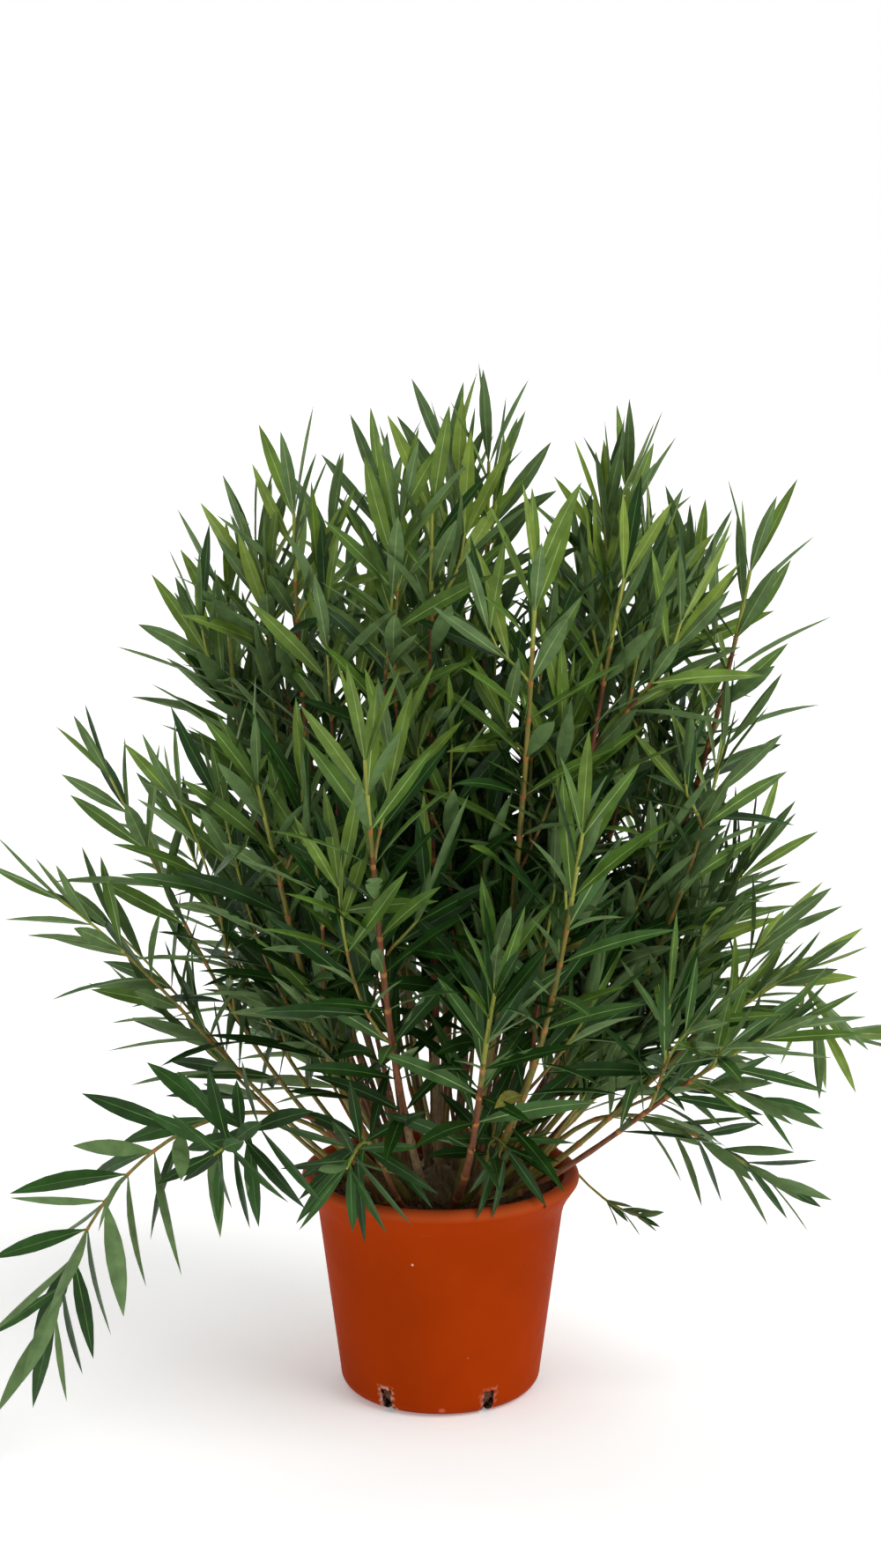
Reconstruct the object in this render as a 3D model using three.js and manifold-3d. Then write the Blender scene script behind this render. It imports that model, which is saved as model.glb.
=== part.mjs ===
// Potted oleander: a many-stemmed evergreen shrub in a round terracotta-coloured grower's pot.
// Millimetres, +Z up. The origin is the centre of the pot's flat underside, and -Y is the front.
import * as THREE from "three";
import { mergeVertices } from "three/addons/utils/BufferGeometryUtils.js";
import Module from "manifold-3d";

const wasm = await Module();
wasm.setup();

// ---- Driving dimensions ------------------------------------------------------------------------

const GAP = 0.3; // clearance between pieces that touch

const POT = {
  height: 325,
  rimRadius: 200, // outside of the rolled lip
  lipRound: 11,
  neckRadius: 176, // outside of the wall, where it starts to flare under the lip
  neckHeight: 264,
  flare: [185, 288], // radius and height halfway up the flare
  heelRadius: 145, // outside of the wall above the rounded bottom edge
  heelRound: 23,
  wall: 4,
  facets: 36,
};
const SLOT = { count: 6, width: 13, height: 27, firstAngle: -122 }; // drain slots in the bottom edge
const COMPOST = { top: 290, clearance: 2, facets: 24 };

// Woody knobs that the stems spring from: distance from the middle, azimuth, radius and height.
const KNOBS = [
  [14, -100, 44, 42],
  [62, -176, 28, 28],
  [56, -6, 28, 24],
  [48, 84, 30, 24],
];

const BOUGH = { rootRadius: 6, flare: 1.4, flareLength: 50, tipRadius: 4.8, sides: 5, steps: 5 };
const TWIG = { rootRadius: 4.6, tipRadius: 2.4, sides: 3, leafless: 0.02 };
const LEAF = { length: 186, width: 44, thickness: 3.6, widest: 0.4, fold: 0.16, tuftSize: 0.8 };

// Leaves stand in whorls of three, each whorl turned half a step past the one before it. The whorls
// stand further apart, and their leaves open and droop more, the further they are from the tip.
const WHORL = {
  leaves: 3,
  tip: 9, // from the twig's end to the first whorl
  spacing: 98,
  widening: 9,
  turn: 60,
  stray: 20, // most that a leaf's place round the twig varies, in degrees
  roll: 34, // most that a leaf turns about its own length, in degrees
  opening: [20, 38, 58], // a leaf's angle to the twig in the tuft, when grown, and when old
  openingStray: 14,
  grownAt: 120, // from the tip
  oldAt: 450,
  droop: [0.02, 0.14], // how far a young and an old leaf's tip hangs, as a share of its length
};

// A fork leaves its leader at a whorl low in the mass, swings out and then runs beside it.
const FORK = { reach: 0.72, offset: 96, lean: 30, whorls: 3, leafless: 0.2, fatter: 1.5 };

const CLEAR = 0.8; // how much fatter a leaf is made to test that it has room

// The ways in which a leaf is tried: as it grew, then swung aside by some degrees and smaller.
const TRIES = [
  { swing: 0, size: 1 },
  { swing: 12, size: 0.97 },
  { swing: -12, size: 0.94 },
  { swing: 24, size: 0.88 },
  { swing: -24, size: 0.82 },
];

// One row for each shoot: azimuth (0 is +X, -90 the front), how far its tip reaches from the pot's
// axis, its tip's height, its lean from upright at the root and at the tip, the share of it that is
// bare, and how many forks it bears.
const SHOOTS = [
  // the upright middle
  ["centre_tall", 40, 88, 1335, 6, 3, 0.24, 2],
  ["centre_front", -95, 135, 1285, 14, 2, 0.22, 1],
  ["upper_left", -172, 203, 1270, 18, 0, 0.22, 2],
  ["upper_right", 14, 270, 1293, 20, 6, 0.22, 2],
  ["back_centre", 110, 250, 1268, 20, 4, 0.22, 1],
  // the shoulders
  ["left_shoulder", 174, 300, 1140, 30, 2, 0.24, 1],
  ["back_left", 147, 370, 1045, 34, 8, 0.24, 1],
  ["back_right", 37, 380, 1165, 34, 8, 0.24, 2],
  ["right_shoulder", -2, 428, 1190, 38, 10, 0.24, 1],
  ["right_mid", -30, 284, 1195, 28, 12, 0.24, 2],
  ["right_front", -61, 258, 1208, 26, 8, 0.22, 1],
  ["front_left", -107, 335, 980, 42, 6, 0.25, 1],
  ["left_inner", -143, 308, 922, 40, 16, 0.25, 1],
  ["front_right", -58, 350, 878, 44, 16, 0.25, 1],
  ["right_outer", -11, 397, 955, 46, 12, 0.28, 1],
  // the wide skirt
  ["left_reach_upper", -169, 464, 916, 50, 26, 0.28, 1],
  ["back_reach", 88, 480, 900, 50, 22, 0.28, 1],
  ["back_low_left", 154, 428, 790, 54, 28, 0.28, 1],
  ["back_low_right", 42, 485, 832, 52, 26, 0.28, 1],
  ["right_outer_low", 8, 448, 772, 54, 24, 0.3, 1],
  ["front_centre", -78, 340, 670, 50, 36, 0.3, 1],
  ["left_reach_lower", -163, 542, 758, 54, 50, 0.34, 1],
  ["right_sweep", -15, 510, 650, 56, 58, 0.32, 2],
  ["right_low", -26, 515, 595, 60, 60, 0.32, 1],
  ["back_skirt", 124, 525, 600, 60, 58, 0.32, 1],
  ["left_low", -177, 385, 555, 60, 50, 0.5, 0],
  // the arching and hanging shoots
  ["front_star", -133, 440, 448, 38, 105, 0.55, 0],
  ["right_droop", -5, 470, 322, 34, 122, 0.42, 1],
  ["left_droop", -148, 610, 222, 22, 166, 0.4, 0],
  ["over_rim", -116, 288, 408, 46, 118, 0.55, 0],
  ["over_soil", -58, 176, 398, 36, 118, 0.5, 0],
];

// Thin shoots that have no bough: their mass's own twig starts at the compost.
const THIN_SHOOTS = ["back_skirt", "left_low", "front_star", "over_rim", "over_soil"];

// How a stem bends between its ends: as a share of the distance, and more where the tip hangs.
const BEND = { pull: 0.36, archPull: 0.56, archLean: 90, sway: 16 };
const ROOT = { inner: 20, perDegree: 1.2, outer: 100, depth: 8 }; // leaning stems start further out

// ---- Helpers ------------------------------------------------------------------------------------

const UP = new THREE.Vector3(0, 0, 1);
const radians = THREE.MathUtils.degToRad;
const between = THREE.MathUtils.lerp;

// A number from 0 to 1 that is always the same for the same seed and draw.
function vary(seed, draw) {
  const wave = Math.sin(seed * 12.9898 + draw * 78.233) * 43758.5453;
  return wave - Math.floor(wave);
}

// As vary, but from -most to most.
const stray = (seed, draw, most) => (vary(seed, draw) * 2 - 1) * most;

function solidFrom(vertProperties, triVerts) {
  return new wasm.Manifold(new wasm.Mesh({ numProp: 3, vertProperties, triVerts }));
}

function solidOf(geometry) {
  const bare = geometry.clone().deleteAttribute("normal").deleteAttribute("uv");
  const merged = mergeVertices(bare);
  return solidFrom(merged.attributes.position.array, new Uint32Array(merged.index.array));
}

function geometryOf(solid) {
  const { vertProperties, triVerts } = solid.getMesh();
  const geometry = new THREE.BufferGeometry();
  geometry.setAttribute("position", new THREE.BufferAttribute(vertProperties, 3));
  geometry.setIndex(new THREE.BufferAttribute(triVerts, 1));
  const flat = geometry.toNonIndexed();
  flat.computeVertexNormals();
  return flat;
}

// The solid itself, or with its faces turned round where bending it has turned it inside out.
function facingOut(solid) {
  if (solid.volume() >= 0) return solid;
  const { vertProperties, triVerts } = solid.getMesh();
  return solidFrom(vertProperties, triVerts.reverse());
}

// The largest body of a solid: what a cut has left loose is dropped.
function largestOf(solid) {
  return solid.decompose().reduce((most, body) => (body.volume() > most.volume() ? body : most));
}

const joined = (solids) => solids.reduce((all, solid) => all.add(solid));

// A profile of [radius, height] points, from the axis back to the axis, spun about Z.
function spun(profile, facets) {
  const points = profile.map(([radius, height]) => new THREE.Vector2(radius, height));
  return solidOf(new THREE.LatheGeometry(points, facets).rotateX(Math.PI / 2));
}

// Profile points along an arc, from one angle to another.
function arc([centreRadius, centreHeight], radius, from, to, steps) {
  return Array.from({ length: steps + 1 }, (_, i) => {
    const angle = radians(between(from, to, i / steps));
    return [centreRadius + radius * Math.cos(angle), centreHeight + radius * Math.sin(angle)];
  });
}

// A direction that leans from upright towards an azimuth, both in degrees.
function leaning(azimuth, lean) {
  const level = new THREE.Vector3(1, 0, 0).applyAxisAngle(UP, radians(azimuth));
  return level.multiplyScalar(Math.sin(radians(lean))).addScaledVector(UP, Math.cos(radians(lean)));
}

// A direction square to a line's own, at an angle round it. At 0 it is level.
function roundAbout(along, turn) {
  const across = new THREE.Vector3().crossVectors(along, UP);
  if (across.lengthSq() < 1e-4) across.set(1, 0, 0);
  return across.normalize().applyAxisAngle(along, turn);
}

// A curve that leaves one point in one direction and reaches another in another.
function bend(start, leaving, end, arriving, pull) {
  const first = start.clone().addScaledVector(leaving, pull);
  const second = end.clone().addScaledVector(arriving, -pull);
  return new THREE.CubicBezierCurve3(start, first, second, end);
}

// A tapering limb: a cylinder bent to a line, with a ring at each of the given shares of its length.
// Each ring can be turned by some degrees about the line.
function limb(line, shares, radiusAt, sides, turns = []) {
  const steps = shares.length - 1;
  const rod = new THREE.CylinderGeometry(1, 1, 1, sides, steps);
  const positions = rod.attributes.position;
  for (let i = 0; i < positions.count; i++) {
    const ring = Math.round((positions.getY(i) + 0.5) * steps);
    const turn = Math.atan2(positions.getZ(i), positions.getX(i)) + radians(turns[ring] ?? 0);
    const outward = roundAbout(line.getTangentAt(shares[ring]), turn);
    const radius = Math.hypot(positions.getX(i), positions.getZ(i)) * radiusAt(shares[ring]);
    const point = line.getPointAt(shares[ring]).addScaledVector(outward, radius);
    positions.setXYZ(i, point.x, point.y, point.z);
  }
  return facingOut(solidOf(rod));
}

// ---- Pot, compost and rootstock -----------------------------------------------------------------

// Outside radius of the pot's straight wall at a height.
function wallRadius(height) {
  const share = (height - POT.heelRound) / (POT.neckHeight - POT.heelRound);
  return between(POT.heelRadius, POT.neckRadius, share);
}

const footRadius = POT.heelRadius - POT.heelRound;

function makeDrainSlot(index) {
  const angle = radians(SLOT.firstAngle + (index * 360) / SLOT.count);
  const slot = new THREE.BoxGeometry(POT.heelRound * 2.4, SLOT.width, SLOT.height * 2);
  slot.translate(POT.heelRadius - POT.heelRound / 2, 0, 0).rotateZ(angle);
  return solidOf(slot);
}

function makePot() {
  const lip = [POT.rimRadius - POT.lipRound, POT.height - POT.lipRound];
  const profile = [
    [0, 0],
    ...arc([footRadius, POT.heelRound], POT.heelRound, -90, 0, 3),
    [POT.neckRadius, POT.neckHeight],
    POT.flare,
    ...arc(lip, POT.lipRound, -40, 150, 4),
    [POT.neckRadius - POT.wall, POT.neckHeight],
    [POT.heelRadius - POT.wall, POT.heelRound],
    [footRadius, POT.wall],
    [0, POT.wall],
  ];
  const slots = Array.from({ length: SLOT.count }, (_, index) => makeDrainSlot(index));
  return slots.reduce((pot, slot) => pot.subtract(slot), spun(profile, POT.facets));
}

function makeCompost() {
  const inside = (height) => wallRadius(height) - POT.wall - COMPOST.clearance;
  const profile = [
    [0, POT.wall + GAP],
    [footRadius - COMPOST.clearance, POT.wall + GAP],
    [inside(POT.heelRound), POT.heelRound],
    [inside(POT.neckHeight), POT.neckHeight],
    [inside(POT.neckHeight), COMPOST.top],
    [0, COMPOST.top],
  ];
  return spun(profile, COMPOST.facets);
}

// The knobs, fused and still whole below the compost. Grown by GAP they cut the stems clear.
function makeKnobs(grown) {
  const knobs = KNOBS.map(([distance, azimuth, radius, height]) => {
    const knob = new THREE.SphereGeometry(1, 10, 6).rotateX(Math.PI / 2);
    knob.scale(radius + grown, radius + grown, height + grown);
    knob.translate(distance, 0, COMPOST.top).rotateZ(radians(azimuth));
    return solidOf(knob);
  });
  return joined(knobs);
}

// What lies under the stems and the rootstock, which they are cut off flat by.
function makeGround() {
  const depth = COMPOST.top;
  const slab = new THREE.CylinderGeometry(POT.neckRadius, POT.neckRadius, depth, POT.facets);
  return solidOf(slab.rotateX(Math.PI / 2).translate(0, 0, COMPOST.top + GAP - depth / 2));
}

// ---- What is placed -----------------------------------------------------------------------------

const placed = [];

function place(solid, owner) {
  const { min, max } = solid.boundingBox();
  const box = new THREE.Box3(new THREE.Vector3(...min), new THREE.Vector3(...max));
  placed.push({ solid, owner, box });
}

// Whether a solid is clear of all that is placed, apart from what the named owners have.
function hasRoom(solid, ...owners) {
  const { min, max } = solid.boundingBox();
  const box = new THREE.Box3(new THREE.Vector3(...min), new THREE.Vector3(...max));
  return placed.every(
    (other) =>
      owners.includes(other.owner) ||
      !other.box.intersectsBox(box) ||
      solid.intersect(other.solid).isEmpty(),
  );
}

function placeLimb(solid, owner) {
  if (!hasRoom(solid)) throw new Error(`${owner} runs into something`);
  place(solid, owner);
}

// ---- Stems --------------------------------------------------------------------------------------

// The whole line of a shoot, from just under the compost's top to its tip.
function stemLine({ azimuth, reach, height, rootLean, tipLean, seed }) {
  const lean = THREE.MathUtils.radToDeg(Math.atan2(reach, height - COMPOST.top));
  const rootReach = Math.min(ROOT.inner + ROOT.perDegree * lean, ROOT.outer);
  const root = leaning(azimuth, 90).multiplyScalar(rootReach).setZ(COMPOST.top - ROOT.depth);
  const tip = leaning(azimuth, 90).multiplyScalar(reach).setZ(height);
  const pull = root.distanceTo(tip) * (tipLean > BEND.archLean ? BEND.archPull : BEND.pull);
  const line = bend(root, leaning(azimuth, rootLean), tip, leaning(azimuth, tipLean), pull);
  line.v1.addScaledVector(leaning(azimuth + 90, 90), stray(seed, 1, BEND.sway));
  line.v2.addScaledVector(leaning(azimuth + 90, 90), stray(seed, 2, BEND.sway));
  return line;
}

function makeBough({ line, bare }) {
  const length = line.getLength();
  const end = bare - GAP / length;
  const radiusAt = (share) => {
    const foot = Math.max(0, 1 - (share * length) / BOUGH.flareLength);
    return between(BOUGH.rootRadius, BOUGH.tipRadius, share / bare) * between(1, BOUGH.flare, foot * foot);
  };
  const rings = Array.from({ length: BOUGH.steps + 1 }, (_, i) => (end * i) / BOUGH.steps);
  return cutFree(limb(line, rings, radiusAt, BOUGH.sides));
}

// A limb without what is under the compost's top or inside the rootstock.
function cutFree(limbSolid) {
  return largestOf(limbSolid.subtract(ground).subtract(grownKnobs));
}

// ---- Foliage ------------------------------------------------------------------------------------

// Where the whorls of a line stand, as shares of its length, from its tip down.
function whorlShares(line, from, most) {
  const shares = [];
  for (let whorl = 0; whorl < most; whorl++) {
    const fromTip = WHORL.tip + whorl * WHORL.spacing + whorl * whorl * WHORL.widening;
    const share = 1 - fromTip / line.getLength();
    if (share < from) break;
    shares.push(share);
  }
  return shares;
}

const whorlTurn = (seed, whorl) => 360 * vary(seed, 3) + whorl * WHORL.turn;

// The leaves of one whorl of a twig, not yet made.
function whorlLeaves({ line, whorls, seed }, whorl) {
  const share = whorls[whorl];
  const along = line.getTangentAt(share);
  const fromTip = (1 - share) * line.getLength();
  const grown = Math.min(1, fromTip / WHORL.grownAt);
  const age = Math.min(1, fromTip / WHORL.oldAt);
  const [tuft, open, old] = WHORL.opening;
  return Array.from({ length: WHORL.leaves }, (_, leaf) => {
    const draw = 10 + whorl * 17 + leaf * 5;
    const turn = whorlTurn(seed, whorl) + (360 * leaf) / WHORL.leaves + stray(seed, draw, WHORL.stray / 2);
    const usual = between(tuft, open, grown) + (old - open) * age;
    const opening = usual + stray(seed, draw + 1, WHORL.openingStray / 2);
    const aim = along.clone().multiplyScalar(Math.cos(radians(opening)));
    aim.addScaledVector(roundAbout(along, radians(turn)), Math.sin(radians(opening)));
    return {
      root: line.getPointAt(share),
      aim,
      face: along.clone().applyAxisAngle(aim, radians(stray(seed, draw + 2, WHORL.roll))),
      size: between(LEAF.tuftSize, 1, grown) * between(0.88, 1.08, vary(seed, draw + 3)),
      droop: between(...WHORL.droop, age),
    };
  });
}

// A leaf is an octahedron drawn out to a long blade, folded a little along its rib, its tip drooping.
function makeLeaf({ root, aim, face, size, droop }, grown = 0) {
  const blade = new THREE.OctahedronGeometry(1);
  const across = new THREE.Vector3().crossVectors(face, aim).normalize();
  const over = new THREE.Vector3().crossVectors(aim, across);
  const length = LEAF.length * size;
  const width = LEAF.width * size + grown;
  const thickness = LEAF.thickness + grown;
  const positions = blade.attributes.position;
  for (let i = 0; i < positions.count; i++) {
    const [x, y, z] = [positions.getX(i), positions.getY(i), positions.getZ(i)];
    const share = x > 0.5 ? 1 : x < -0.5 ? 0 : LEAF.widest;
    const point = root.clone().addScaledVector(aim, share * length);
    point.addScaledVector(across, (y * width) / 2);
    point.addScaledVector(over, (z * thickness) / 2 + (Math.abs(y) * LEAF.fold * width) / 2);
    point.z -= droop * length * share * share;
    positions.setXYZ(i, point.x, point.y, point.z);
  }
  return facingOut(solidOf(blade));
}

// The leaf made in the first way that leaves it clear of all but its own twigs and whorl, or null.
function growLeaf(leaf, owner, whorlName) {
  for (const { swing, size } of TRIES) {
    const aim = leaf.aim.clone().applyAxisAngle(leaf.face, radians(swing));
    const tried = { ...leaf, aim, size: leaf.size * size };
    if (!hasRoom(makeLeaf(tried, CLEAR), owner, whorlName)) continue;
    const made = makeLeaf(tried);
    place(made, whorlName);
    return made;
  }
  return null;
}

// A bare twig along a line, with a ring at each whorl, turned so that leaves stand on its flat sides.
function makeTwig({ line, whorls, seed }, from, rootRadius) {
  const taper = (share) => between(rootRadius, TWIG.tipRadius, (share - from) / (1 - from));
  const turns = whorls.map((_, whorl) => whorlTurn(seed, whorl) - 90 / TWIG.sides).reverse();
  const rings = [from, ...whorls.slice(1).reverse(), 1];
  return limb(line, rings, taper, TWIG.sides, [turns[0], ...turns]);
}

// The twig that carries a mass, from its bough's tip or from the compost to the shoot's tip.
function growLeader(shoot) {
  const { name, line, bare, seed } = shoot;
  const leader = { line, seed, whorls: whorlShares(line, bare + TWIG.leafless, Infinity) };
  const isThin = THIN_SHOOTS.includes(name);
  const twig = makeTwig(leader, isThin ? 0 : bare, TWIG.rootRadius);
  leader.twig = isThin ? cutFree(twig) : twig;
  placeLimb(leader.twig, name);
  shoot.twigs = [leader];
}

function forkLine(parent, share, turn, seed) {
  const start = parent.getPointAt(share);
  const along = parent.getTangentAt(share);
  const endShare = share + (1 - share) * FORK.reach * between(0.85, 1.2, vary(seed, 5));
  const arriving = parent.getTangentAt(endShare);
  const offset = FORK.offset * between(0.8, 1.15, vary(seed, 6));
  const end = parent.getPointAt(endShare).addScaledVector(roundAbout(arriving, turn), offset);
  const leaving = along.clone().multiplyScalar(Math.cos(radians(FORK.lean)));
  leaving.addScaledVector(roundAbout(along, turn), Math.sin(radians(FORK.lean)));
  return bend(start, leaving, end, arriving, start.distanceTo(end) / 3);
}

// The forks that have room. They start at every other whorl of the leader, from the lowest up, the
// first on the side of the leader that faces into the crown and the second on the other side.
function growForks(shoot) {
  const [leader] = shoot.twigs;
  for (let i = 0; i < shoot.forks; i++) {
    const seed = shoot.seed * 3 + i + 40;
    const turn = Math.PI * (vary(shoot.seed, 4) + i - 1);
    const line = forkLine(leader.line, leader.whorls.at(-1 - i * 2), turn, seed);
    const fork = { line, seed, whorls: whorlShares(line, FORK.leafless, FORK.whorls) };
    fork.twig = makeTwig(fork, 0, TWIG.tipRadius * FORK.fatter);
    if (!hasRoom(fork.twig, shoot.name)) continue;
    place(fork.twig, shoot.name);
    shoot.twigs.push(fork);
  }
}

// A whole mass: its twigs and all the leaves that they have room for, fused.
function makeMass({ name, twigs }) {
  const leaves = twigs.flatMap((twig) =>
    twig.whorls.flatMap((_, whorl) =>
      whorlLeaves(twig, whorl).map((leaf) => growLeaf(leaf, name, `${name} ${twig.seed} ${whorl}`)),
    ),
  );
  const grown = leaves.filter((leaf) => leaf);
  return largestOf(joined([...twigs.map(({ twig }) => twig), ...grown]));
}

// ---- Assembly -----------------------------------------------------------------------------------

const colours = {
  pot: new THREE.MeshStandardMaterial({ color: 0xb84414, roughness: 0.5, metalness: 0 }),
  compost: new THREE.MeshStandardMaterial({ color: 0x3a2a20, roughness: 1, metalness: 0 }),
  bark: new THREE.MeshStandardMaterial({ color: 0x7a5c40, roughness: 0.85, metalness: 0 }),
  foliage: new THREE.MeshStandardMaterial({ color: 0x2f6128, roughness: 0.55, metalness: 0 }),
};

const plant = new THREE.Group();

function addNode(name, solid, material) {
  const mesh = new THREE.Mesh(geometryOf(solid), material);
  mesh.name = name;
  plant.add(mesh);
}

const ground = makeGround();
const grownKnobs = makeKnobs(GAP);

const pot = makePot();
place(pot, "pot");
addNode("pot", pot, colours.pot);
addNode("compost", makeCompost(), colours.compost);
addNode("rootstock", makeKnobs(0).subtract(ground), colours.bark);

const shoots = SHOOTS.map((row, index) => {
  const [name, azimuth, reach, height, rootLean, tipLean, bare, forks] = row;
  const shoot = { name, azimuth, reach, height, rootLean, tipLean, bare, forks, seed: index + 1 };
  return { ...shoot, line: stemLine(shoot) };
});

for (const shoot of shoots.filter(({ name }) => !THIN_SHOOTS.includes(name))) {
  const bough = makeBough(shoot);
  placeLimb(bough, `bough_${shoot.name}`);
  addNode(`bough_${shoot.name}`, bough, colours.bark);
}

shoots.forEach(growLeader);
place(ground, "ground");
place(grownKnobs, "rootstock");
shoots.forEach(growForks);
for (const shoot of shoots) {
  addNode(`foliage_${shoot.name}`, makeMass(shoot), colours.foliage);
}

export default plant;
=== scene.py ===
# Potted oleander: its pot, compost and rootstock, and the stems, twigs and leaves that grow from them.
# Metres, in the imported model's frame: +Z up, -Y the front, the origin under the middle of the pot.
import math

import bmesh
import bpy
import numpy as np
from mathutils import Matrix, Vector, noise


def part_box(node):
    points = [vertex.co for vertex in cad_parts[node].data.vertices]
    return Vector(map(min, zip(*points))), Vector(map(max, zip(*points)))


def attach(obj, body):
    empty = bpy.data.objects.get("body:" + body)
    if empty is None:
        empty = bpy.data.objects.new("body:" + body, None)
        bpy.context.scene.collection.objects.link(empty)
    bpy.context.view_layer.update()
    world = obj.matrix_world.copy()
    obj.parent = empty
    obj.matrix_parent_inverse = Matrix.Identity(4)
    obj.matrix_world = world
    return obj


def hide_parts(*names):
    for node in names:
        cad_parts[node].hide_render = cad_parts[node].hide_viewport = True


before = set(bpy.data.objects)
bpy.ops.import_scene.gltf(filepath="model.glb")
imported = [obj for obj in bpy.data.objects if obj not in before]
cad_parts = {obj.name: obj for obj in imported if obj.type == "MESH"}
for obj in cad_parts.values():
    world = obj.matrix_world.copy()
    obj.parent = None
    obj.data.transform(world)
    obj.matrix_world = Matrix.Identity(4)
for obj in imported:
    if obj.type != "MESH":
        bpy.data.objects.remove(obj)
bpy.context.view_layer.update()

# ---- Named sizes --------------------------------------------------------------------------------

POT_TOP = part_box("pot")[1][2]
POT_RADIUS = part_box("pot")[1][0]
COMPOST_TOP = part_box("compost")[1][2]

POT = {
    "lip_round": 0.011,
    "neck_radius": 0.176,
    "neck_height": 0.264,
    "flare": (0.185, 0.288),
    "heel_radius": 0.145,
    "heel_round": 0.023,
    "wall": 0.004,
    "wall_rings": (0.11, 0.19),
    "neck_round": (0.1795, 0.277),
    "inner_lip": (0.1765, 0.300),
    "inner_neck": (0.1735, 0.283),
    "steps": 144,
    "crease": 34,
}
# The drain slots through the heel, and how ragged the mould has left their tops.
SLOT = {"count": 6, "width": 0.014, "height": 0.035, "first_angle": -122, "ragged": 0.003, "grain": 160}
# How much chalk lies round each pair of facing slots.
CHALK = (0.75, 0.35, 0)
# How far below the rim the painted highlight along the lip starts and is full, and how strong it is.
LIP_HIGHLIGHT = {"starts": 0.017, "full": 0.009, "share": 0.45}

# Small marks on the pot: where, how large and what colour.
POT_MARKS = [
    ((-0.039, -0.168, 0.238), 0.0022, (222, 172, 152)),
    ((0.146, -0.137, 0.312), 0.0040, (104, 24, 10)),
    ((0.039, -0.150, 0.093), 0.0016, (204, 128, 98)),
    ((0.002, -0.140, 0.012), 0.0060, (196, 96, 70)),
]

# The gap between compost and wall, how far the fill is sunk below its crumbs, and its lumps: how fine
# and how high.
COMPOST = {
    "gap": 0.002,
    "sunk": 0.003,
    "rings": 45,
    "steps": 150,
    "lumps": [(38, 0.004), (120, 0.0026), (300, 0.0016)],
}
# How many crumbs, how clear of the wall, how large, and what shares are fibres and grit.
CRUMBS = {
    "count": 620,
    "clear": 0.012,
    "least": 0.0016,
    "more": 0.0042,
    "fibres": 0.24,
    "fibre_width": 0.0016,
    "grit": 0.035,
}

# Distance from the middle, azimuth, radius and height of each woody knob.
KNOBS = [
    (0.014, -100, 0.044, 0.042),
    (0.062, -176, 0.028, 0.028),
    (0.056, -6, 0.028, 0.024),
    (0.048, 84, 0.030, 0.024),
]
# How the knobs are fused and furrowed.
BURL = {"cell": 0.0022, "buried": 0.008, "lump": 0.007, "furrow": 0.005, "grain": 0.0014, "shrink": 0.002}

BEND = {"pull": 0.36, "arch_pull": 0.56, "arch_lean": 90, "sway": 0.016}
ROOT = {"inner": 0.020, "per_degree": 0.0012, "outer": 0.100, "depth": 0.008}

# The source's own spacing of whorls, which says where its forks leave a leader.
SOURCE_WHORL = {"most": 60, "tip": 0.009, "spacing": 0.098, "widening": 0.009}
SOURCE_FORK = {"reach": (0.612, 0.864), "offset": (0.0768, 0.1104), "lean": 30}
# The share of a leader between its bare length and its lowest leaves, the shares of a fork and a spur
# that are bare, and a fork's thickness beside its leader's.
LEAF_START = {"leader": 0.02, "fork": 0.12, "spur": 0.18}
FORK_THICKNESS = 0.72

# The same rule at the leaves' own size: whorls of three, close together near the tip. A habit also says
# how wide its leaves open at the tip, further down and at the foot, in degrees, how thick its stems are,
# and what share of them keep olive bark.
USUAL = {
    "most": 60,
    "tip": 0.006,
    "spacing": 0.0440,
    "widening": 0.0010,
    "opening": (16, 39, 57),
    "opening_stray": 9,
    "grown_at": 0.12,
    "old_at": 0.45,
    "droop": (0.01, 0.12),
    "length": 0.172,
    "width": 0.0226,
    "tuft": 0.86,
    "spurs": True,
    "shaded": False,
    "pale": 0,
    "stem": 1,
    "olive": 0.4,
    "roll": 30,
}
# Long reaching shoots, whose whorls stand apart.
OPEN = {**USUAL, "spacing": 0.054, "length": 0.152, "width": 0.0224, "spurs": False, "stem": 0.62, "olive": 1}
# The long shoot that hangs down beside the pot, its broad leaves turned every way and darkened with painted
# shade.
TRAILING = {
    **OPEN,
    "spacing": 0.037,
    "opening": (18, 46, 60),
    "droop": (0.02, 0.10),
    "length": 0.160,
    "width": 0.0262,
    "roll": 110,
    "shaded": True,
}
# Narrower leaves, set closer.
FINE = {
    **USUAL,
    "spacing": 0.035,
    "opening": (18, 38, 52),
    "length": 0.154,
    "width": 0.0196,
    "stem": 0.8,
    "olive": 0.8,
}
# The low shoots on the right: one that sweeps out and up with paler leaves, and one that hangs, its leaves
# darkened with painted shade.
SWEEPING = {**FINE, "opening": (16, 34, 50), "length": 0.130, "width": 0.0196, "pale": 0.3}
HANGING = {**FINE, "length": 0.124, "width": 0.0190, "spurs": False, "shaded": True, "stem": 0.7}
# The short rosettes at the ends of the low shoots, darkened with painted shade.
ROSETTE = {
    **USUAL,
    "most": 7,
    "spacing": 0.0095,
    "widening": 0.0007,
    "opening": (34, 64, 86),
    "grown_at": 0.03,
    "old_at": 0.09,
    "length": 0.122,
    "width": 0.0185,
    "spurs": False,
    "shaded": True,
    "stem": 0.65,
    "olive": 0.6,
}
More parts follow.
